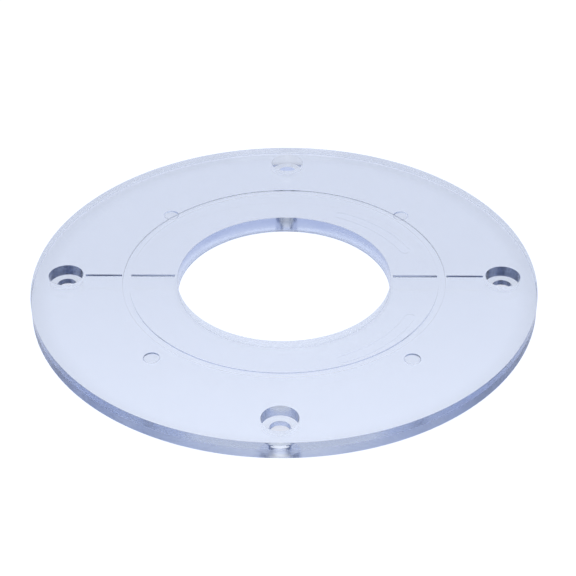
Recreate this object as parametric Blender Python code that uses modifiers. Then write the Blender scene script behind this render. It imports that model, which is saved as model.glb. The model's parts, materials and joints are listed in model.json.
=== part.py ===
"""Clear router sub base, one moulded polycarbonate disc with a bit opening.

The disc is screwed under a router by four sunk screws, and the router slides on it.
Everything is in metres, +Z up. The origin is on the axis of the bit opening, in the
flat face that lies against the router. The sliding face is the top one, and the index
lines run along X. The object is a single moulding, so it has one part.
"""

import math

import bmesh
import bpy
from mathutils import Matrix, Vector

MM = 0.001

# The disc
PLATE_RADIUS = 75.0 * MM
PLATE_THICKNESS = 5.3 * MM
RIM_ROUND = 0.3 * MM

# The opening that the bit goes through
BORE_RADIUS = 31.75 * MM
BORE_ROUND = 0.15 * MM

# The shallow ring groove in the sliding face
GROOVE_LAND = 14.25 * MM
GROOVE_WIDTH = 2.0 * MM
GROOVE_DEPTH = 0.35 * MM

# The pan head screws that the disc is hung on, which are not part of it
SCREW_SHANK = 5.0 * MM
SCREW_SHANK_CLEARANCE = 0.8 * MM
SCREW_HEAD = 9.5 * MM
SCREW_HEAD_CLEARANCE = 0.8 * MM
SCREW_HEAD_HEIGHT = 3.0 * MM
SCREW_HEAD_SUNK = 0.4 * MM
SCREW_RIM_DISTANCE = 9.8 * MM
SCREW_COUNT = 4

# The index lines in the sliding face, to the left and right of the opening
INDEX_WIDTH = 0.7 * MM
INDEX_DEPTH = 0.45 * MM
INDEX_BORE_LAND = 0.8 * MM
INDEX_GROOVE_LAND = 0.4 * MM
INDEX_SCREW_LAND = 0.8 * MM

# The blind round recesses in the face that lies against the router
RECESS_DIAMETER = 4.7 * MM
RECESS_DEPTH = 1.5 * MM
RECESS_GROOVE_LAND = 1.35 * MM
RECESS_COUNT = 4
FIRST_RECESS_ANGLE = math.radians(45)

# The blank label outlines in the same face, each an arc with round ends
LABEL_LINE = 0.35 * MM
LABEL_WIDTH = 3.4 * MM
LABEL_DEPTH = 0.2 * MM
LABEL_GROOVE_LAND = 3.7 * MM
LABEL_ANGLES = (math.radians(45), math.radians(-45))
LABEL_HALF_ANGLE = math.radians(20)

# How finely round shapes are cut
PLATE_STEPS = 140
SCREW_HOLE_STEPS = 48
RECESS_STEPS = 32
LABEL_ARC_STEPS = 20
LABEL_END_STEPS = 8
ROUND_STEPS = 2

# How far a cutter stands clear of the face that it opens
OVERRUN = 1.0 * MM

# Points closer than this are one, and edges sharper than this angle stay crisp
MERGE = 0.01 * MM
CREASE = math.radians(30)

# What follows from the sizes above
GROOVE_INNER = BORE_RADIUS + GROOVE_LAND
GROOVE_OUTER = GROOVE_INNER + GROOVE_WIDTH
SCREW_CIRCLE = PLATE_RADIUS - SCREW_RIM_DISTANCE
HOLE_RADIUS = (SCREW_SHANK + SCREW_SHANK_CLEARANCE) / 2
SEAT_RADIUS = (SCREW_HEAD + SCREW_HEAD_CLEARANCE) / 2
SEAT_HEIGHT = PLATE_THICKNESS - SCREW_HEAD_HEIGHT - SCREW_HEAD_SUNK
RECESS_CIRCLE = GROOVE_OUTER + RECESS_GROOVE_LAND + RECESS_DIAMETER / 2
LABEL_RADIUS = GROOVE_INNER - LABEL_GROOVE_LAND - LABEL_WIDTH / 2
TURN = 2 * math.pi


def clear_scene():
    """Remove what a new file starts with."""
    for thing in list(bpy.data.objects):
        bpy.data.objects.remove(thing, do_unlink=True)


def new_collection(name):
    """Return a new collection in the scene."""
    collection = bpy.data.collections.new(name)
    bpy.context.scene.collection.children.link(collection)
    return collection


def clear_polycarbonate():
    """Return the material of the disc, clear plastic with a cool tint."""
    material = bpy.data.materials.new("clear_polycarbonate")
    material.use_nodes = True
    shader = material.node_tree.nodes["Principled BSDF"]
    shader.inputs["Base Color"].default_value = (0.69, 0.74, 0.88, 1.0)
    shader.inputs["Metallic"].default_value = 0.0
    shader.inputs["Roughness"].default_value = 0.08
    shader.inputs["IOR"].default_value = 1.585
    shader.inputs["Transmission Weight"].default_value = 0.9
    return material


def round_corner(radius, height, out, up, size):
    """Return the profile points of one rounded outside corner.

    radius and height are the sharp corner, out and up say to which side the
    material ends there, and size is the radius of the round. The points go
    from the upright face to the flat one.
    """
    centre = Vector((radius - out * size, height - up * size))
    points = []
    for step in range(ROUND_STEPS + 1):
        angle = TURN / 4 * step / ROUND_STEPS
        points.append(centre + size * Vector((out * math.cos(angle), up * math.sin(angle))))
    return points


def plate_profile():
    """Return the outline that is turned into the disc, down its outer side first."""
    top = PLATE_THICKNESS
    floor = PLATE_THICKNESS - GROOVE_DEPTH
    points = list(reversed(round_corner(PLATE_RADIUS, top, 1, 1, RIM_ROUND)))
    points += round_corner(PLATE_RADIUS, 0, 1, -1, RIM_ROUND)
    points += reversed(round_corner(BORE_RADIUS, 0, -1, -1, BORE_ROUND))
    points += round_corner(BORE_RADIUS, top, -1, 1, BORE_ROUND)
    points += [
        Vector((GROOVE_INNER, top)),
        Vector((GROOVE_INNER, floor)),
        Vector((GROOVE_OUTER, floor)),
        Vector((GROOVE_OUTER, top)),
    ]
    return points


def turned(name, points, steps, collection):
    """Return an object whose closed outline is turned about Z by a Screw modifier."""
    mesh = bpy.data.meshes.new(name)
    corners = [(point.x, 0, point.y) for point in points]
    edges = [(index, (index + 1) % len(points)) for index in range(len(points))]
    mesh.from_pydata(corners, edges, [])
    thing = bpy.data.objects.new(name, mesh)
    collection.objects.link(thing)
    screw = thing.modifiers.new("turn", "SCREW")
    screw.axis = "Z"
    screw.angle = TURN
    screw.steps = steps
    screw.render_steps = steps
    screw.use_merge_vertices = True
    screw.merge_threshold = MERGE
    return thing


def make_cutter(thing):
    """Show an object as a wire guide only, as something that cuts the disc."""
    thing.hide_render = True
    thing.display_type = "WIRE"
    return thing


def cylinder_cutter(name, radius, low, high, steps, place, collection):
    """Return an upright round cutter from low to high, with its axis at place."""
    mesh = bpy.data.meshes.new(name)
    shape = bmesh.new()
    bmesh.ops.create_cone(
        shape,
        cap_ends=True,
        cap_tris=False,
        segments=steps,
        radius1=radius,
        radius2=radius,
        depth=high - low,
        matrix=Matrix.Translation((0, 0, (low + high) / 2)),
    )
    shape.to_mesh(mesh)
    shape.free()
    thing = bpy.data.objects.new(name, mesh)
    thing.location = place
    collection.objects.link(thing)
    return make_cutter(thing)


def box_cutter(name, low, high, collection):
    """Return a box cutter between two corners."""
    mesh = bpy.data.meshes.new(name)
    shape = bmesh.new()
    size = Vector(high) - Vector(low)
    middle = (Vector(high) + Vector(low)) / 2
    matrix = Matrix.Translation(middle) @ Matrix.Diagonal((*size, 1))
    bmesh.ops.create_cube(shape, size=1, matrix=matrix)
    shape.to_mesh(mesh)
    shape.free()
    thing = bpy.data.objects.new(name, mesh)
    collection.objects.link(thing)
    return make_cutter(thing)


def on_circle(radius, angle):
    """Return the point at an angle on a circle about the disc's axis."""
    return Vector((radius * math.cos(angle), radius * math.sin(angle), 0))


def arc(centre, radius, start, end, steps):
    """Return points from one angle to another on an arc."""
    points = []
    for step in range(steps + 1):
        angle = start + (end - start) * step / steps
        points.append(centre + on_circle(radius, angle))
    return points


def label_outline(middle, half_width):
    """Return the outline of an arc shaped band with round ends, counter clockwise."""
    first = middle - LABEL_HALF_ANGLE
    last = middle + LABEL_HALF_ANGLE
    axis = Vector((0, 0, 0))
    outer = arc(axis, LABEL_RADIUS + half_width, first, last, LABEL_ARC_STEPS)
    inner = arc(axis, LABEL_RADIUS - half_width, last, first, LABEL_ARC_STEPS)
    far_end = on_circle(LABEL_RADIUS, last)
    near_end = on_circle(LABEL_RADIUS, first)
    far = arc(far_end, half_width, last, last + TURN / 2, LABEL_END_STEPS)
    near = arc(near_end, half_width, first + TURN / 2, first + TURN, LABEL_END_STEPS)
    return outer + far[1:-1] + inner + near[1:-1]


def label_cutter(name, middle, collection):
    """Return the cutter of one blank label outline, a flat band made from a curve."""
    curve = bpy.data.curves.new(name, "CURVE")
    curve.dimensions = "2D"
    curve.fill_mode = "BOTH"
    curve.extrude = (LABEL_DEPTH + OVERRUN) / 2
    for half_width in (LABEL_WIDTH / 2, LABEL_WIDTH / 2 - LABEL_LINE):
        points = label_outline(middle, half_width)
        spline = curve.splines.new("POLY")
        spline.points.add(len(points) - 1)
        for corner, point in zip(spline.points, points):
            corner.co = (point.x, point.y, 0, 1)
        spline.use_cyclic_u = True
    flat = bpy.data.objects.new(name + "_curve", curve)
    flat.location = (0, 0, LABEL_DEPTH - curve.extrude)
    collection.objects.link(flat)
    bpy.context.view_layer.update()
    graph = bpy.context.evaluated_depsgraph_get()
    mesh = bpy.data.meshes.new_from_object(flat.evaluated_get(graph))
    mesh.name = name
    shape = bmesh.new()
    shape.from_mesh(mesh)
    bmesh.ops.remove_doubles(shape, verts=shape.verts, dist=MERGE)
    bmesh.ops.recalc_face_normals(shape, faces=shape.faces)
    shape.to_mesh(mesh)
    shape.free()
    thing = bpy.data.objects.new(name, mesh)
    thing.matrix_world = flat.matrix_world.copy()
    collection.objects.link(thing)
    bpy.data.objects.remove(flat, do_unlink=True)
    return make_cutter(thing)


def screw_hole_cutters(collection):
    """Return a clearance hole and a head seat for each screw, on the two main axes."""
    cutters = []
    for index in range(SCREW_COUNT):
        place = on_circle(SCREW_CIRCLE, TURN * index / SCREW_COUNT)
        cutters.append(
            cylinder_cutter(
                f"cut_screw_hole_{index + 1}",
                HOLE_RADIUS,
                -OVERRUN,
                SEAT_HEIGHT + OVERRUN,
                SCREW_HOLE_STEPS,
                place,
                collection,
            )
        )
        cutters.append(
            cylinder_cutter(
                f"cut_screw_seat_{index + 1}",
                SEAT_RADIUS,
                SEAT_HEIGHT,
                PLATE_THICKNESS + OVERRUN,
                SCREW_HOLE_STEPS,
                place,
                collection,
            )
        )
    return cutters


def index_line_cutters(collection):
    """Return the four short slots that mark the line through the bit's middle."""
    spans = {
        "inner": (BORE_RADIUS + INDEX_BORE_LAND, GROOVE_INNER - INDEX_GROOVE_LAND),
        "outer": (
            GROOVE_OUTER + INDEX_GROOVE_LAND,
            SCREW_CIRCLE - SEAT_RADIUS - INDEX_SCREW_LAND,
        ),
    }
    low = PLATE_THICKNESS - INDEX_DEPTH
    high = PLATE_THICKNESS + OVERRUN
    cutters = []
    for which, (near, far) in spans.items():
        for side, name in ((-1, "left"), (1, "right")):
            left, right = sorted((side * near, side * far))
            cutters.append(
                box_cutter(
                    f"cut_index_{which}_{name}",
                    (left, -INDEX_WIDTH / 2, low),
                    (right, INDEX_WIDTH / 2, high),
                    collection,
                )
            )
    return cutters


def recess_cutters(collection):
    """Return the blind round recesses of the face that lies against the router."""
    cutters = []
    for index in range(RECESS_COUNT):
        angle = FIRST_RECESS_ANGLE + TURN * index / RECESS_COUNT
        cutters.append(
            cylinder_cutter(
                f"cut_recess_{index + 1}",
                RECESS_DIAMETER / 2,
                -OVERRUN,
                RECESS_DEPTH,
                RECESS_STEPS,
                on_circle(RECESS_CIRCLE, angle),
                collection,
            )
        )
    return cutters


def label_cutters(collection):
    """Return the cutters of the blank label outlines."""
    return [
        label_cutter(f"cut_label_{index + 1}", middle, collection)
        for index, middle in enumerate(LABEL_ANGLES)
    ]


def cut(thing, cutters):
    """Take each cutter's shape out of an object with an exact Boolean."""
    for cutter in cutters:
        boolean = thing.modifiers.new(cutter.name, "BOOLEAN")
        boolean.operation = "DIFFERENCE"
        boolean.solver = "EXACT"
        boolean.object = cutter


def settle(thing):
    """Apply an object's modifiers and shade its round faces smooth, edges crisp."""
    bpy.context.view_layer.update()
    graph = bpy.context.evaluated_depsgraph_get()
    mesh = bpy.data.meshes.new_from_object(thing.evaluated_get(graph))
    mesh.name = thing.name
    mesh.shade_smooth()
    mesh.set_sharp_from_angle(angle=CREASE)
    thing.modifiers.clear()
    thing.data = mesh


def sub_base_plate(parts, guides):
    """Return the finished disc: turned, then bored, slotted and marked."""
    plate = turned("sub_base_plate", plate_profile(), PLATE_STEPS, parts)
    plate.data.materials.append(clear_polycarbonate())
    cutters = screw_hole_cutters(guides)
    cutters += index_line_cutters(guides)
    cutters += recess_cutters(guides)
    cutters += label_cutters(guides)
    cut(plate, cutters)
    settle(plate)
    return plate


def main():
    """Build the router sub base."""
    clear_scene()
    parts = new_collection("router_sub_base")
    guides = new_collection("cutters")
    sub_base_plate(parts, guides)


main()
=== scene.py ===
"""Looks of the router sub base: one clear disc, modelled finely in place of its CAD solid.

Everything is in metres, +Z up. The disc lies with its router face on the floor and its
sliding face up, as in the photograph.
"""

import json
import logging
import math
from collections.abc import Callable
from dataclasses import dataclass, field
from enum import Enum

import bpy
from mathutils import Matrix, Quaternion, Vector

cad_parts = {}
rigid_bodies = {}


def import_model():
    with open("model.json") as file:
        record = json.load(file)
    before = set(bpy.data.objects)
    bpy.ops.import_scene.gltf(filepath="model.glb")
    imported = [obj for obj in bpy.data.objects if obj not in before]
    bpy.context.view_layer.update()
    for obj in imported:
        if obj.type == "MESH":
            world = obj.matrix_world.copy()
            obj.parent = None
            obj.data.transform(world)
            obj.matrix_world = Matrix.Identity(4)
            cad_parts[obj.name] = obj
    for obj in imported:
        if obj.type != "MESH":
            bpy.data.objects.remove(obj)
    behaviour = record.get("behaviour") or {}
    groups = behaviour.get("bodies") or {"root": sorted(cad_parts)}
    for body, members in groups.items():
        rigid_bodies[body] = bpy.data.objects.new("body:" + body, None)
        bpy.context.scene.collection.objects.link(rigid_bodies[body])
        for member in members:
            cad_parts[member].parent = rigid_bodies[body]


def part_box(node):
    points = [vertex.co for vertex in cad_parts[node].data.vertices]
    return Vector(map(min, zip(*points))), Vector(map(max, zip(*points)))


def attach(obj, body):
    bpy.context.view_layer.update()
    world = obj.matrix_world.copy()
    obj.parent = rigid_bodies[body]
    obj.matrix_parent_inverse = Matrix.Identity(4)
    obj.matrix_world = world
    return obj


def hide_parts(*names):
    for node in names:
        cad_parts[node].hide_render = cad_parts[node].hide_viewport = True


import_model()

MM = 0.001
TURN = 2 * math.pi
SPIN_AXIS = (0, 0, -1)  # the spin operator turns clockwise round its axis, so this is +Z's way
FAR = 1.0  # well beyond the disc
LEVEL_SLACK = 0.001 * MM
MERGE_REACH = 0.002 * MM
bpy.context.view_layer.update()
Stops = tuple[tuple[float, float], ...]
log = logging.getLogger("router_sub_base")


class Side(Enum):
    """The side of the disc that an index line lies on, as a sign along X."""

    LEFT = -1
    RIGHT = 1


class Surface(Enum):
    """How a surface of the plastic is finished: its mean roughness and its painted shade or
    light.
    """

    POLISHED = (0.02, 1.0)  # the sliding face, the walls and the label outlines
    DULL = (0.12, 1.0)  # the router face
    SATIN = (0.15, 0.95)  # the floors of the screw seats and the blind recesses, with a faint painted shade
    CLEAN = (0.15, 1.12)  # painted light on the walls of the front and the back screw hole
    SHADED = (0.15, 0.8)  # painted shade on the wall of the front screw seat
    HAZY = (0.15, 0.56)  # painted shade on the wall of the back screw seat
    STAINED = (0.15, 0.47)  # deep painted shade on the walls of the screw holes and seats at the sides
    WORN = (0.45, 1.12)  # the lower rim on the near side: worn rough, with painted light
    EDGED = (0.3, 0.7)  # the lowest strip of the bit opening's far wall: rough, with painted shade
    GROOVED = (0.1, 0.35)  # painted shade on the outer wall of the ring groove
    ENGRAVED = (0.6, 0.95)  # the outer pair of index lines: rough, with a faint painted shade
    SOILED = (0.6, 0.6)  # the inner pair of index lines: rough, with painted shade


def deselect_all() -> None:
    """Deselect every object, because an operator acts on all that is selected."""
    for thing in bpy.context.view_layer.objects:
        thing.select_set(False)


def take_up(thing: bpy.types.Object) -> None:
    """Make one object the only selected and the active one.

    Args:
        thing: The object.
    """
    deselect_all()
    thing.select_set(True)
    bpy.context.view_layer.objects.active = thing


def fresh(name: str) -> bpy.types.Object:
    """Name the primitive that was just added and put its place into its mesh.

    Args:
        name: The new object's name.

    Returns:
        The object, at the origin, unturned and unscaled.
    """
    thing = bpy.context.active_object
    thing.name = name
    thing.data.name = name
    take_up(thing)
    bpy.ops.object.transform_apply(location=True, rotation=True, scale=True)
    return thing


def open_mesh(thing: bpy.types.Object, kind: str) -> None:
    """Open an object in edit mode with nothing selected.

    Args:
        thing: The mesh object.
        kind: What is picked there: VERT, EDGE or FACE.
    """
    take_up(thing)
    bpy.ops.object.mode_set(mode="EDIT")
    bpy.ops.mesh.select_mode(type=kind)
    bpy.ops.mesh.select_all(action="DESELECT")


def pick_where(thing: bpy.types.Object, wanted: Callable[[Vector], bool]) -> None:
    """Select the points that pass a test, and what lies between them, in edit mode.

    Args:
        thing: The mesh object in edit mode.
        wanted: The test of a point's place.
    """
    bpy.ops.object.mode_set(mode="OBJECT")
    mesh = thing.data
    inside = [wanted(vertex.co) for vertex in mesh.vertices]
    for vertex in mesh.vertices:
        vertex.select = inside[vertex.index]
    for edge in mesh.edges:
        edge.select = all(inside[i] for i in edge.vertices)
    for face in mesh.polygons:
        face.select = all(inside[i] for i in face.vertices)
    bpy.ops.object.mode_set(mode="EDIT")


def pick(thing: bpy.types.Object, low: Vector, high: Vector) -> None:
    """Select what lies in a box, on an object in edit mode.

    Args:
        thing: The mesh object in edit mode.
        low: The lowest corner of the box.
        high: The highest corner of the box.
    """
    pick_where(thing, lambda place: all(a <= c <= b for a, c, b in zip(low, place, high)))


def pick_level(thing: bpy.types.Object, height: float) -> None:
    """Select what lies at one height, on an object in edit mode."""
    low = Vector((-FAR, -FAR, height - LEVEL_SLACK))
    pick(thing, low, Vector((FAR, FAR, height + LEVEL_SLACK)))


def close_mesh(thing: bpy.types.Object) -> bpy.types.Object:
    """Merge an object's doubles, point its faces outwards and leave edit mode.

    Args:
        thing: The mesh object in edit mode.

    Returns:
        The same object.
    """
    bpy.ops.mesh.select_all(action="SELECT")
    bpy.ops.mesh.remove_doubles(threshold=MERGE_REACH)
    bpy.ops.mesh.normals_make_consistent(inside=False)
    bpy.ops.object.mode_set(mode="OBJECT")
    return thing


def draw_out(rise: float, grow: tuple[float, float]) -> None:
    """Extrude the selected face along Z and widen it, in edit mode.

    Args:
        rise: How far the face goes up.
        grow: The factors that it grows by along X and Y.
    """
    bpy.ops.mesh.extrude_region_move(TRANSFORM_OT_translate={"value": (0, 0, rise)})
    bpy.ops.transform.resize(value=(*grow, 1))


def on_circle(radius: float, angle: float) -> Vector:
    """Return the point at an angle on a circle round the disc's axis."""
    return Vector((radius * math.cos(angle), radius * math.sin(angle), 0))


@dataclass(frozen=True)
class ClearPlastic:
    """Clear moulded plastic: a cool tint that deepens with the way through it.

    Each face has the roughness of its Surface, with soft smudges in it, and its painted shade
    or light as a factor on the film's tint.
    """

    ior: float = 1.46
    film_tint: tuple[float, float, float] = (0.87, 0.89, 0.90)
    density: float = 10.0
    depth_tint: tuple[float, float, float] = (0.37, 0.49, 0.75)
    roughness_mark: str = "mean_roughness"
    painted_shading_mark: str = "painted_shading"
    smudge_size: float = 14.0 * MM
    smudge_share: float = 0.25
    smudge_detail: float = 3.0
    smudge_reach: tuple[float, float] = (0.3, 0.7)
    streak_height: float = 0.45 * MM
    streak_length: float = 60.0 * MM
    streak_detail: float = 2.0
    streak_relief: float = 0.001 * MM

    def smudges(self, material: bpy.types.Material) -> None:
        """Let the roughness vary softly about each face's own mean, as handling leaves it.

        Args:
            material: The plastic's material.
        """
        nodes = material.node_tree.nodes
        links = material.node_tree.links
        mean = nodes.new("ShaderNodeAttribute")
        mean.attribute_name = self.roughness_mark
        place = nodes.new("ShaderNodeTexCoord")
        smudge = nodes.new("ShaderNodeTexNoise")
        smudge.inputs["Scale"].default_value = 1 / self.smudge_size
        smudge.inputs["Detail"].default_value = self.smudge_detail
        spread = nodes.new("ShaderNodeMapRange")
        weakest, strongest = self.smudge_reach
        spread.inputs["From Min"].default_value = weakest
        spread.inputs["From Max"].default_value = strongest
        spread.inputs["To Min"].default_value = 1 - self.smudge_share
        spread.inputs["To Max"].default_value = 1 + self.smudge_share
        both = nodes.new("ShaderNodeMath")
        both.operation = "MULTIPLY"
        links.new(place.outputs["Object"], smudge.inputs["Vector"])
        links.new(smudge.outputs["Fac"], spread.inputs["Value"])
        links.new(mean.outputs["Fac"], both.inputs[0])
        links.new(spread.outputs["Result"], both.inputs[1])
        links.new(both.outputs[0], nodes["Principled BSDF"].inputs["Roughness"])

    def streaks(self, material: bpy.types.Material) -> None:
        """Lay faint level streaks on the upright walls; the flat faces hardly show them.

        Args:
            material: The plastic's material.
        """
        nodes = material.node_tree.nodes
        links = material.node_tree.links
        place = nodes.new("ShaderNodeTexCoord")
        stretch = nodes.new("ShaderNodeMapping")
        along = 1 / self.streak_length
        stretch.inputs["Scale"].default_value = (along, along, 1 / self.streak_height)
        streak = nodes.new("ShaderNodeTexNoise")
        streak.inputs["Scale"].default_value = 1.0
        streak.inputs["Detail"].default_value = self.streak_detail
        relief = nodes.new("ShaderNodeBump")
        relief.inputs["Distance"].default_value = self.streak_relief
        links.new(place.outputs["Object"], stretch.inputs["Vector"])
        links.new(stretch.outputs["Vector"], streak.inputs["Vector"])
        links.new(streak.outputs["Fac"], relief.inputs["Height"])
        links.new(relief.outputs["Normal"], nodes["Principled BSDF"].inputs["Normal"])

    def tint(self, material: bpy.types.Material) -> None:
        """Tint the film of every surface, times each face's painted shade or light.

        Args:
            material: The plastic's material.
        """
        nodes = material.node_tree.nodes
        links = material.node_tree.links
        painted_shading = nodes.new("ShaderNodeAttribute")
        painted_shading.attribute_name = self.painted_shading_mark
        # The film's tint scaled by the face's painted shade (below 1) or painted light (above
        # 1).
        film = nodes.new("ShaderNodeVectorMath")
        film.operation = "SCALE"
        film.inputs[0].default_value = self.film_tint
        links.new(painted_shading.outputs["Fac"], film.inputs["Scale"])
        links.new(film.outputs["Vector"], nodes["Principled BSDF"].inputs["Base Color"])

    def dress(self, thing: bpy.types.Object) -> None:
        """Dress an object whose slots mark the surface of each face.

        One material takes the place of the slots, because a ray that goes in by one material
        and out by another keeps the first one's inside. Each face keeps its own surface.

        Args:
            thing: The object, with a slot for each surface in the order of Surface.
        """
        surfaces = list(Surface)
        owners = [surfaces[face.material_index] for face in thing.data.polygons]
        for place, name in enumerate((self.roughness_mark, self.painted_shading_mark)):
            marks = thing.data.attributes.new(name, "FLOAT", "FACE")
            for owner, mark in zip(owners, marks.data):
                mark.value = owner.value[place]
        for face in thing.data.polygons:
            face.material_index = 0
        thing.data.materials.clear()
        thing.data.materials.append(self.material("clear_plastic"))

    def material(self, name: str) -> bpy.types.Material:
        """Return the plastic as a material.

        Args:
            name: The material's name.

        Returns:
            A glass like material with a tinted inside.
        """
        material = bpy.data.materials.new(name)
        material.use_nodes = True
        nodes = material.node_tree.nodes
        links = material.node_tree.links
        shader = nodes["Principled BSDF"]
        shader.inputs["IOR"].default_value = self.ior
        shader.inputs["Transmission Weight"].default_value = 1.0
        self.tint(material)
        self.smudges(material)
        self.streaks(material)
        inside = nodes.new("ShaderNodeVolumeAbsorption")
        inside.inputs["Color"].default_value = (*self.depth_tint, 1.0)
        inside.inputs["Density"].default_value = self.density
        links.new(inside.outputs["Volume"], nodes["Material Output"].inputs["Volume"])
        return material


@dataclass
class RouterSubBase:
    """The clear disc, with every hole, slot and mark that the photograph shows.

    Where a size differs from the CAD solid's, the photograph shows the visual's through the
    clear plastic. The screw holes are counted from the right side on by way of the back.
    """

    node: str = "sub_base_plate"
    body: str = "root"
    slot: str = "clear_polycarbonate"
    finish: ClearPlastic = ClearPlastic()
    radius: float = 75.0 * MM
    thickness: float = 5.3 * MM
    rim_round: float = 0.1 * MM
    foot_round: float = 0.06 * MM
    worn_and_lit_height: float = 3.0 * MM
    rough_shaded_height: float = 0.6 * MM
    bore: float = 31.75 * MM
    bore_round: float = 0.12 * MM
    groove_inner: float = 46.0 * MM
    groove_outer: float = 48.0 * MM
    groove_depth: float = 0.35 * MM
    screw_circle: float = 65.2 * MM
    screw_count: int = 4
    hole: float = 2.9 * MM
    hole_flare: float = 0.3 * MM
    seat: float = 5.15 * MM
    seat_height: float = 1.9 * MM
    # Painted shade or light on each seat's and each hole's walls, in the holes' order.
    seat_surfaces: tuple[Surface, ...] = (
        Surface.STAINED,
        Surface.HAZY,
        Surface.STAINED,
        Surface.SHADED,
    )
    hole_surfaces: tuple[Surface, ...] = (
        Surface.STAINED,
        Surface.CLEAN,
        Surface.STAINED,
        Surface.CLEAN,
    )
    index_width: float = 0.7 * MM
    index_depth: float = 0.55 * MM
    index_spans: Stops = ((32.55 * MM, 45.6 * MM), (48.4 * MM, 59.25 * MM))
    recess: float = 2.35 * MM
    recess_depth: float = 0.6 * MM
    recess_round: float = 0.15 * MM
    recess_circle: float = 51.7 * MM
    recess_count: int = 4
    label_radius: float = 40.6 * MM
    label_width: float = 3.4 * MM
    label_line: float = 0.35 * MM
    label_depth: float = 0.05 * MM
    label_half_angle: float = math.radians(20)
    label_angles: tuple[float, ...] = (math.radians(45), math.radians(-45))
    break_edge: float = 0.025 * MM
    overrun: float = 1.0 * MM
    turn_steps: int = 768
    hole_steps: int = 96
    round_steps: int = 5
    break_steps: int = 2
    recess_steps: int = 6
    label_steps: int = 48
    label_end_steps: int = 16
    smooth_angle: float = math.radians(30)
    marks: dict[Surface, bpy.types.Material] = field(default_factory=dict)

    def section(self) -> bpy.types.Object:
        """Draw the disc's section with its rounded corners, as a face in the XZ plane.

        Returns:
            The section, in edit mode, split at the groove's walls and at the heights where
            a surface changes.
        """
        middle = (self.radius + self.bore) / 2
        bpy.ops.mesh.primitive_plane_add(size=1, location=(middle, 0, self.thickness / 2))
        blank = bpy.context.active_object
        blank.rotation_euler.x = TURN / 4
        blank.scale = (self.radius - self.bore, self.thickness, 1)
        blank = fresh("clear_disc")
        open_mesh(blank, "VERT")
        corners = (
            (self.radius, self.thickness, self.rim_round),
            (self.radius, 0.0, self.foot_round),
            (self.bore, self.thickness, self.bore_round),
            (self.bore, 0.0, self.foot_round),
        )
        for edge, height, size in corners:
            slack = size / 4
            low = Vector((edge - slack, -FAR, height - slack))
            pick(blank, low, Vector((edge + slack, FAR, height + slack)))
            bpy.ops.mesh.bevel(offset=size, segments=self.round_steps, affect="VERTICES")
        for wall in (self.groove_inner, self.groove_outer):
            bpy.ops.mesh.select_all(action="SELECT")
            bpy.ops.mesh.bisect(plane_co=(wall, 0, 0), plane_no=(1, 0, 0))
        for height in (self.rough_shaded_height, self.worn_and_lit_height):
            bpy.ops.mesh.select_all(action="SELECT")
            bpy.ops.mesh.bisect(plane_co=(0, 0, height), plane_no=(0, 0, 1))
        return blank

    def groove(self, blank: bpy.types.Object) -> None:
        """Cut the ring groove into the disc's section, with broken edges.

        Args:
            blank: The section in edit mode.
        """
        floor = self.thickness - self.groove_depth
        slack = self.break_edge / 4
        low = Vector((self.groove_inner - slack, -FAR, -FAR))
        high = Vector((self.groove_outer + slack, FAR, FAR))
        top = Vector((low.x, low.y, self.thickness - slack))
        pick(blank, low, high)
        bpy.ops.mesh.bisect(plane_co=(0, 0, floor), plane_no=(0, 0, 1))
        pick(blank, Vector((low.x, low.y, floor - slack)), high)
        bpy.ops.mesh.delete(type="ONLY_FACE")
        bpy.ops.mesh.select_mode(type="EDGE")
        pick(blank, top, high)
        bpy.ops.mesh.delete(type="EDGE")
        pick(blank, top, high)
        bpy.ops.mesh.select_mode(type="VERT")
        bpy.ops.mesh.bevel(offset=self.break_edge, segments=self.break_steps, affect="VERTICES")

    def turned_blank(self) -> bpy.types.Object:
        """Turn the disc's section round its axis: rim, bit opening and ring groove.

        Returns:
            The blank disc, closed, with rounded corners.
        """
        blank = self.section()
        self.groove(blank)
        bpy.ops.mesh.select_mode(type="FACE")
        bpy.ops.mesh.select_all(action="SELECT")
        bpy.ops.mesh.region_to_loop()
        bpy.ops.mesh.select_all(action="INVERT")
        bpy.ops.mesh.delete(type="EDGE_FACE")
        bpy.ops.object.mode_set(mode="OBJECT")
        blank.rotation_euler.z = TURN / self.turn_steps / 2
        bpy.ops.object.transform_apply(location=False, rotation=True, scale=False)
        open_mesh(blank, "EDGE")
        bpy.ops.mesh.select_all(action="SELECT")
        bpy.ops.mesh.spin(steps=self.turn_steps, angle=TURN, center=(0, 0, 0), axis=SPIN_AXIS)
        return close_mesh(blank)

    def marked(self, core: bpy.types.Object, surface: Surface) -> bpy.types.Object:
        """Close a core's mesh and mark the surface that it leaves in the disc.

        Args:
            core: The core in edit mode.
            surface: The surface.

        Returns:
            The same core.
        """
        core.data.materials.append(self.marks[surface])
        return close_mesh(core)

    def screw_core(self, number: int) -> bpy.types.Object:
        """Return the core that forms one screw hole with its seat.

        Args:
            number: The hole's number.

        Returns:
            An upright stepped plug with a flare at each mouth, its walls marked on their own
            with painted shade or light.
        """
        low = self.seat_height
        high = self.thickness - self.break_edge
        centre = on_circle(self.screw_circle, TURN * number / self.screw_count)
        place = centre + Vector((0, 0, (low + high) / 2))
        bpy.ops.mesh.primitive_cylinder_add(
            vertices=self.hole_steps, radius=self.seat, depth=high - low, location=place
        )
        core = fresh("screw_core")
        open_mesh(core, "FACE")
        pick_level(core, high)
        grow = 1 + self.break_edge / self.seat
        draw_out(self.break_edge, (grow, grow))
        draw_out(self.overrun, (1, 1))
        pick_level(core, low)
        bpy.ops.mesh.inset(thickness=self.seat - self.hole)
        draw_out(self.hole_flare - low, (1, 1))
        grow = 1 + self.hole_flare / self.hole
        draw_out(-self.hole_flare, (grow, grow))
        draw_out(-self.overrun, (1, 1))
        slack = self.break_edge
        mouth = self.hole + self.hole_flare + slack
        spans = ((0.0, mouth), (self.seat - slack, self.seat + 2 * slack))
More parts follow.
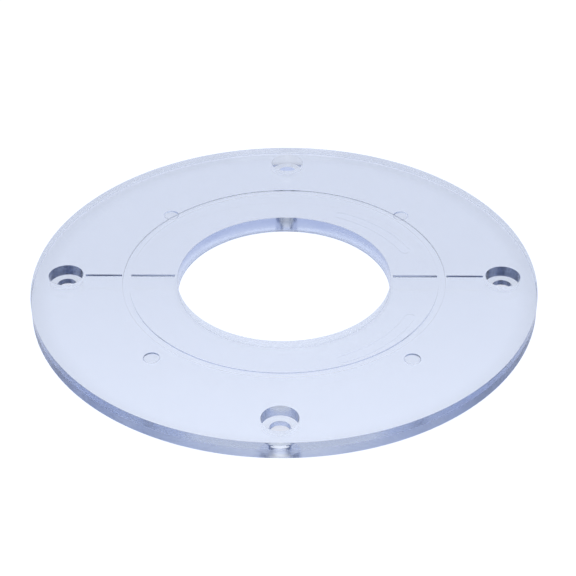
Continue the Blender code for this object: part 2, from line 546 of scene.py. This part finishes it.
        # The hole's and the seat's walls each take their own painted shade or light.
        surfaces = (Surface.SATIN, self.hole_surfaces[number], self.seat_surfaces[number])
        for surface in surfaces:
            core.data.materials.append(self.marks[surface])
        for slot, (near, far) in enumerate(spans, start=1):
            pick_where(core, lambda place: near < (place - centre).xy.length < far)
            core.active_material_index = slot
            bpy.ops.object.material_slot_assign()
        return close_mesh(core)

    def index_core(self, side: Side, near: float, far: float) -> bpy.types.Object:
        """Return the core that forms one index line.

        Args:
            side: The side of the disc that it lies on.
            near: Its end next to the disc's axis.
            far: Its other end.

        Returns:
            A narrow bar with a flare at its mouth.
        """
        low = self.thickness - self.index_depth
        high = self.thickness - self.break_edge
        place = (side.value * (near + far) / 2, 0, (low + high) / 2)
        bpy.ops.mesh.primitive_cube_add(size=1, location=place)
        size = Vector((far - near, self.index_width, high - low))
        bpy.context.active_object.scale = size
        core = fresh("index_core")
        open_mesh(core, "FACE")
        pick_level(core, high)
        grow = (1 + 2 * self.break_edge / size.x, 1 + 2 * self.break_edge / size.y)
        draw_out(self.break_edge, grow)
        draw_out(self.overrun, (1, 1))
        # The inner pair takes a deeper painted shade than the outer pair.
        inner = far < self.groove_inner
        return self.marked(core, Surface.SOILED if inner else Surface.ENGRAVED)

    def recess_core(self, angle: float) -> bpy.types.Object:
        """Return the core that forms one blind recess of the router face.

        Args:
            angle: The place of the recess round the disc.

        Returns:
            An upright plug with a rounded top and a flare at its mouth.
        """
        low = self.break_edge
        high = self.recess_depth
        place = on_circle(self.recess_circle, angle) + Vector((0, 0, (low + high) / 2))
        bpy.ops.mesh.primitive_cylinder_add(
            vertices=self.hole_steps, radius=self.recess, depth=high - low, location=place
        )
        core = fresh("recess_core")
        open_mesh(core, "FACE")
        pick_level(core, low)
        grow = 1 + self.break_edge / self.recess
        draw_out(-self.break_edge, (grow, grow))
        draw_out(-self.overrun, (1, 1))
        bpy.ops.mesh.select_mode(type="EDGE")
        pick_level(core, high)
        bpy.ops.mesh.bevel(offset=self.recess_round, segments=self.recess_steps, affect="EDGES")
        return self.marked(core, Surface.SATIN)

    def label_core(self, middle: float) -> bpy.types.Object:
        """Return the core that forms one blank label outline, an arc with round ends.

        Args:
            middle: The place of the label's middle round the disc.

        Returns:
            A thin closed band, swept out by four spins of its section.
        """
        first = middle - self.label_half_angle
        last = middle + self.label_half_angle
        half = (self.label_width - self.label_line) / 2
        height = self.label_depth + self.overrun
        place = on_circle(self.label_radius + half, first)
        place.z = self.label_depth - height / 2
        bpy.ops.mesh.primitive_plane_add(size=1, location=place)
        bpy.context.active_object.rotation_euler = (TURN / 4, 0, first)
        bpy.context.active_object.scale = (self.label_line, height, 1)
        core = fresh("label_core")
        open_mesh(core, "EDGE")
        bpy.ops.mesh.select_all(action="SELECT")
        bpy.ops.mesh.delete(type="ONLY_FACE")
        bpy.ops.mesh.select_all(action="SELECT")
        ends = {angle: on_circle(self.label_radius, angle) for angle in (first, last)}
        sweeps = (
            (Vector(), last - first, self.label_steps),
            (ends[last], TURN / 2, self.label_end_steps),
            (Vector(), first - last, self.label_steps),
            (ends[first], TURN / 2, self.label_end_steps),
        )
        for centre, angle, steps in sweeps:
            bpy.ops.mesh.spin(
                steps=steps, angle=angle, center=centre, axis=SPIN_AXIS, use_auto_merge=False
            )
        return self.marked(core, Surface.POLISHED)

    def cores(self) -> bpy.types.Object:
        """Form all that is taken out of the blank.

        Returns:
            The cores, joined as one object.
        """
        cores = [self.screw_core(number) for number in range(self.screw_count)]
        for side in Side:
            cores += [self.index_core(side, near, far) for near, far in self.index_spans]
        step = TURN / self.recess_count
        cores += [self.recess_core(step * (n + 1 / 2)) for n in range(self.recess_count)]
        cores += [self.label_core(angle) for angle in self.label_angles]
        for core in cores:
            core.select_set(True)
        bpy.ops.object.join()
        return bpy.context.active_object

    def mark_blank(self, blank: bpy.types.Object) -> None:
        """Mark the surfaces of the blank that aren't polished.

        They are the dull router face, the rough lowest strip of the bit opening at the back
        with painted shade, the worn lower rim at the front with painted light and the groove's
        outer wall with painted shade.

        Args:
            blank: The blank disc.
        """
        for mark in self.marks.values():
            blank.data.materials.append(mark)
        open_mesh(blank, "FACE")
        slack = self.break_edge * 2
        low_rim = self.worn_and_lit_height + slack
        rim = self.radius - self.foot_round - slack
        low_bore = self.rough_shaded_height + slack
        bore = self.bore + self.foot_round + slack
        near_wall = self.groove_outer - slack
        far_wall = self.groove_outer + slack
        # The strip, the rim and the groove's wall carry painted shade or light on their tint.
        tests = {
            Surface.DULL: lambda r, y, z: abs(z) < LEVEL_SLACK,
            Surface.EDGED: lambda r, y, z: r < bore and y > 0 and z < low_bore,
            Surface.WORN: lambda r, y, z: r > rim and y < 0 and z < low_rim,
            Surface.GROOVED: lambda r, y, z: near_wall < r < far_wall and z > low_rim,
        }
        for surface, test in tests.items():
            pick_where(blank, lambda place: test(place.xy.length, place.y, place.z))
            blank.active_material_index = list(Surface).index(surface)
            bpy.ops.object.material_slot_assign()
        bpy.ops.object.mode_set(mode="OBJECT")

    def form(self) -> bpy.types.Object:
        """Mould the disc: turn the blank, take the cores out and smooth its faces.

        Returns:
            The dressed disc.
        """
        for surface in Surface:
            self.marks[surface] = bpy.data.materials.new(surface.name.lower())
        disc = self.turned_blank()
        self.mark_blank(disc)
        cores = self.cores()
        take_up(disc)
        boolean = disc.modifiers.new("cores", "BOOLEAN")
        boolean.operation = "DIFFERENCE"
        boolean.solver = "EXACT"
        boolean.material_mode = "TRANSFER"
        boolean.object = cores
        bpy.ops.object.modifier_apply(modifier=boolean.name)
        bpy.data.objects.remove(cores, do_unlink=True)
        self.finish.dress(disc)
        bpy.ops.object.shade_smooth_by_angle(angle=self.smooth_angle)
        even = disc.modifiers.new("even_normals", "WEIGHTED_NORMAL")
        even.keep_sharp = True
        bpy.ops.object.modifier_apply(modifier=even.name)
        return disc

    def build(self) -> bpy.types.Object:
        """Build the dressed disc and put it in place of its CAD node.

        Returns:
            The disc.
        """
        disc = self.form()
        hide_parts(self.node)
        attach(disc, self.body)
        return disc


@dataclass
class Studio:
    """The pale floor, the soft light and the camera of the photograph.

    The floor glows in two ways that change with the distance from the disc's axis: as the
    camera sees it (seen) and as the clear disc bends and mirrors it (through). Stops are
    shares of glow_reach, each with a share of the glow. The dimmer stops are a painted
    shadow of the disc on the floor, and the gains in front and behind are painted light.
    """

    floor_drop: float = 0.1 * MM
    floor_size: float = 30.0
    floor_colour: tuple[float, float, float] = (0.15, 0.155, 0.17)
    glow_colour: tuple[float, float, float] = (0.815, 0.855, 0.98)
    glow_reach: float = 100.0 * MM
    # Dimmer under the disc's ring: a painted shadow of the disc, seen through its holes.
    seen_glow: float = 1.15
    seen_stops: Stops = ((0.318, 1.0), (0.33, 0.67), (0.72, 0.67), (0.749, 1.0))
    through_glow: float = 1.0
    # Dimmer in the bit opening and towards the rim: painted shade under the disc.
    through_stops: Stops = (
        (0.29, 0.66),
        (0.33, 0.88),
        (0.69, 0.88),
        (0.75, 0.77),
        (0.77, 0.75),
    )
    # Painted light: the glow is stronger in front of the disc and behind it.
    front_gain: float = 1.14
    front_reach: tuple[float, float] = (-66.0 * MM, 9.0 * MM)
    behind_gain: float = 1.55
    behind_reach: tuple[float, float] = (0.0, 60.0 * MM)
    behind_radius: tuple[float, float] = (74.0 * MM, 77.0 * MM)
    sky_stops: tuple[tuple[float, tuple[float, float, float]], ...] = (
        (0.30, (0.45, 0.50, 0.70)),
        (0.54, (0.60, 0.67, 0.93)),
        (0.70, (0.60, 0.67, 0.93)),
        (0.85, (1.00, 0.93, 0.70)),
    )
    lamp_place: tuple[float, float, float] = (0.0, -140.0 * MM, 230.0 * MM)
    lamp_size: float = 200.0 * MM
    lamp_power: float = 0.13
    lens: float = 96.334
    sensor: float = 36.0
    distance: float = 459.9 * MM
    elevation: float = math.radians(35.238)
    azimuth: float = math.radians(1.25)
    roll: float = math.radians(-0.44)
    aim_right: float = 1.17 * MM
    aim_up: float = -3.66 * MM
    bounces: int = 28

    def floor(self) -> bpy.types.Object:
        """Lay the floor just under the disc: white to the camera, and clear from below.

        Returns:
            The floor.
        """
        place = (0, 0, -self.floor_drop)
        bpy.ops.mesh.primitive_plane_add(size=self.floor_size, location=place)
        floor = fresh("floor")
        material = bpy.data.materials.new("floor_white")
        material.use_nodes = True
        nodes = material.node_tree.nodes
        links = material.node_tree.links
        shader = nodes["Principled BSDF"]
        shader.inputs["Base Color"].default_value = (*self.floor_colour, 1.0)
        shader.inputs["Roughness"].default_value = 1.0
        shader.inputs["Specular IOR Level"].default_value = 0.0
        shader.inputs["Emission Color"].default_value = (*self.glow_colour, 1.0)
        links.new(self.glow(material.node_tree), shader.inputs["Emission Strength"])
        side = nodes.new("ShaderNodeNewGeometry")
        clear = nodes.new("ShaderNodeBsdfTransparent")
        mix = nodes.new("ShaderNodeMixShader")
        links.new(side.outputs["Backfacing"], mix.inputs["Fac"])
        links.new(shader.outputs["BSDF"], mix.inputs[1])
        links.new(clear.outputs["BSDF"], mix.inputs[2])
        links.new(mix.outputs["Shader"], nodes["Material Output"].inputs["Surface"])
        floor.data.materials.append(material)
        return floor

    def glow(self, tree: bpy.types.NodeTree) -> bpy.types.NodeSocket:
        """Return how strongly the floor glows.

        The camera sees one profile, dimmer under the disc's ring as a painted shadow. Rays that
        the disc bends or mirrors meet another, dimmer in the bit opening and near the rim as
        painted shade, stronger in front and behind as painted light, and none after the floor
        has scattered them.

        Args:
            tree: The floor material's node tree.

        Returns:
            The output that holds the strength.
        """
        nodes = tree.nodes
        path = nodes.new("ShaderNodeLightPath")
        place = nodes.new("ShaderNodeTexCoord")
        split = nodes.new("ShaderNodeSeparateXYZ")
        reach = nodes.new("ShaderNodeVectorMath")
        reach.operation = "LENGTH"
        tree.links.new(place.outputs["Object"], split.inputs[0])
        tree.links.new(place.outputs["Object"], reach.inputs[0])
        radius = reach.outputs["Value"]
        seen = self.profile(nodes, radius, self.seen_stops, self.seen_glow)
        seen = self.combine(nodes, "MULTIPLY", path.outputs["Is Camera Ray"], seen)
        through = self.profile(nodes, radius, self.through_stops, self.through_glow)
        front = self.blend(nodes, split.outputs["Y"], self.front_reach, (self.front_gain, 1.0))
        outside = self.blend(nodes, radius, self.behind_radius, (0.0, 1.0))
        beyond = self.blend(nodes, split.outputs["Y"], self.behind_reach, (0.0, 1.0))
        behind = self.combine(nodes, "MULTIPLY", outside, beyond)
        behind = self.blend(nodes, behind, (0.0, 1.0), (1.0, self.behind_gain))
        first = self.blend(nodes, path.outputs["Diffuse Depth"], (0.0, 1.0), (1.0, 0.0))
        glossy = path.outputs["Is Glossy Ray"]
        clear = self.combine(nodes, "MAXIMUM", glossy, path.outputs["Is Transmission Ray"])
        for factor in (front, behind, clear, first):
            through = self.combine(nodes, "MULTIPLY", through, factor)
        return self.combine(nodes, "ADD", seen, through)

    def profile(
        self,
        nodes: bpy.types.Nodes,
        radius: bpy.types.NodeSocket,
        stops: Stops,
        peak: float,
    ) -> bpy.types.NodeSocket:
        """Return a glow that changes with the distance from the disc's axis.

        Args:
            nodes: The material's nodes.
            radius: The output that holds the distance.
            stops: Shares of glow_reach, each with its share of the peak.
            peak: The strongest glow.

        Returns:
            The output that holds the glow.
        """
        ramp = nodes.new("ShaderNodeValToRGB")
        marks = ramp.color_ramp.elements
        while len(marks) < len(stops):
            marks.new(1.0)
        for mark, (position, share) in zip(marks, stops):
            mark.position = position
            mark.color = (share, share, share, 1.0)
        share = self.blend(nodes, radius, (0.0, self.glow_reach), (0.0, 1.0))
        ramp.id_data.links.new(share, ramp.inputs[0])
        return self.blend(nodes, ramp.outputs["Color"], (0.0, 1.0), (0.0, peak))

    def blend(
        self,
        nodes: bpy.types.Nodes,
        value: bpy.types.NodeSocket,
        reach: tuple[float, float],
        ends: tuple[float, float],
    ) -> bpy.types.NodeSocket:
        """Return a value that goes evenly from one end to the other over a reach.

        Args:
            nodes: The material's nodes.
            value: What is compared with the reach.
            reach: Where it starts and where it ends.
            ends: The result at the start and at the end.

        Returns:
            The output that holds the result.
        """
        blend = nodes.new("ShaderNodeMapRange")
        blend.inputs["From Min"].default_value, blend.inputs["From Max"].default_value = reach
        blend.inputs["To Min"].default_value, blend.inputs["To Max"].default_value = ends
        blend.id_data.links.new(value, blend.inputs["Value"])
        return blend.outputs["Result"]

    def combine(
        self,
        nodes: bpy.types.Nodes,
        operation: str,
        one: bpy.types.NodeSocket,
        other: bpy.types.NodeSocket,
    ) -> bpy.types.NodeSocket:
        """Return the output of a node that makes one value out of two.

        Args:
            nodes: The material's nodes.
            operation: What is done with them: ADD, MULTIPLY or MAXIMUM.
            one: The first value.
            other: The second value.

        Returns:
            The output that holds the result.
        """
        both = nodes.new("ShaderNodeMath")
        both.operation = operation
        both.id_data.links.new(one, both.inputs[0])
        both.id_data.links.new(other, both.inputs[1])
        return both.outputs[0]

    def lamp(self) -> bpy.types.Object:
        """Hang a wide soft lamp above the near side, where the photographed disc is brighter.

        Returns:
            The lamp.
        """
        light = bpy.data.lights.new("soft_lamp", "AREA")
        light.shape = "SQUARE"
        light.size = self.lamp_size
        light.energy = self.lamp_power
        lamp = bpy.data.objects.new("soft_lamp", light)
        bpy.context.scene.collection.objects.link(lamp)
        place = Vector(self.lamp_place)
        turn = (-place).to_track_quat("-Z", "Y")
        lamp.matrix_world = Matrix.Translation(place) @ turn.to_matrix().to_4x4()
        return lamp

    def sky(self) -> None:
        """Fill the room with even light, cooler and dimmer low down, and white when seen."""
        world = bpy.data.worlds.new("soft_room")
        bpy.context.scene.world = world
        world.use_nodes = True
        nodes = world.node_tree.nodes
        links = world.node_tree.links
        place = nodes.new("ShaderNodeTexCoord")
        split = nodes.new("ShaderNodeSeparateXYZ")
        ramp = nodes.new("ShaderNodeValToRGB")
        stops = ramp.color_ramp.elements
        while len(stops) < len(self.sky_stops):
            stops.new(1.0)
        for stop, (position, colour) in zip(stops, self.sky_stops):
            stop.position = position
            stop.color = (*colour, 1.0)
        links.new(place.outputs["Generated"], split.inputs[0])
        links.new(split.outputs["Z"], ramp.inputs[0])
        path = nodes.new("ShaderNodeLightPath")
        seen = nodes.new("ShaderNodeMix")
        seen.data_type = "RGBA"
        seen.inputs["B"].default_value = (1.0, 1.0, 1.0, 1.0)
        links.new(path.outputs["Is Camera Ray"], seen.inputs["Factor"])
        links.new(ramp.outputs["Color"], seen.inputs["A"])
        links.new(seen.outputs["Result"], nodes["Background"].inputs["Color"])

    def camera(self, centre: Vector) -> bpy.types.Object:
        """Set the camera where the photograph was taken from.

        Args:
            centre: The middle of the disc's sliding face.

        Returns:
            The camera.
        """
        level = self.distance * math.cos(self.elevation)
        offset = Vector((level * math.sin(self.azimuth), -level * math.cos(self.azimuth), 0))
        offset.z = self.distance * math.sin(self.elevation)
        look = -offset.normalized()
        right = look.cross(Vector((0, 0, 1))).normalized()
        up = right.cross(look)
        aim = (look * self.distance + right * self.aim_right + up * self.aim_up).normalized()
        lens = bpy.data.cameras.new("camera")
        lens.lens = self.lens
        lens.sensor_width = self.sensor
        camera = bpy.data.objects.new("camera", lens)
        bpy.context.scene.collection.objects.link(camera)
        turn = aim.to_track_quat("-Z", "Y") @ Quaternion((0, 0, 1), self.roll)
        camera.matrix_world = Matrix.Translation(centre + offset) @ turn.to_matrix().to_4x4()
        bpy.context.scene.camera = camera
        return camera

    def build(self, centre: Vector) -> None:
        """Set up the floor, the light and the camera.

        Args:
            centre: The middle of the disc's sliding face.
        """
        self.floor()
        self.sky()
        self.lamp()
        self.camera(centre)
        scene = bpy.context.scene
        scene.view_settings.view_transform = "Standard"
        # The default softens what a clear body shows after the floor, and darkens it.
        scene.cycles.blur_glossy = 0.0
        scene.cycles.max_bounces = self.bounces
        scene.cycles.glossy_bounces = self.bounces
        scene.cycles.transmission_bounces = self.bounces


def main() -> None:
    """Build the disc and its studio, and log how many faces the disc has."""
    logging.basicConfig(level=logging.INFO)
    _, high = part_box("sub_base_plate")
    disc = RouterSubBase().build()
    log.info("%s: %d faces", disc.name, len(disc.data.polygons))
    Studio().build(Vector((0, 0, high.z)))
    log.info("floor, light and camera set up")


if __name__ == "__main__":
    main()
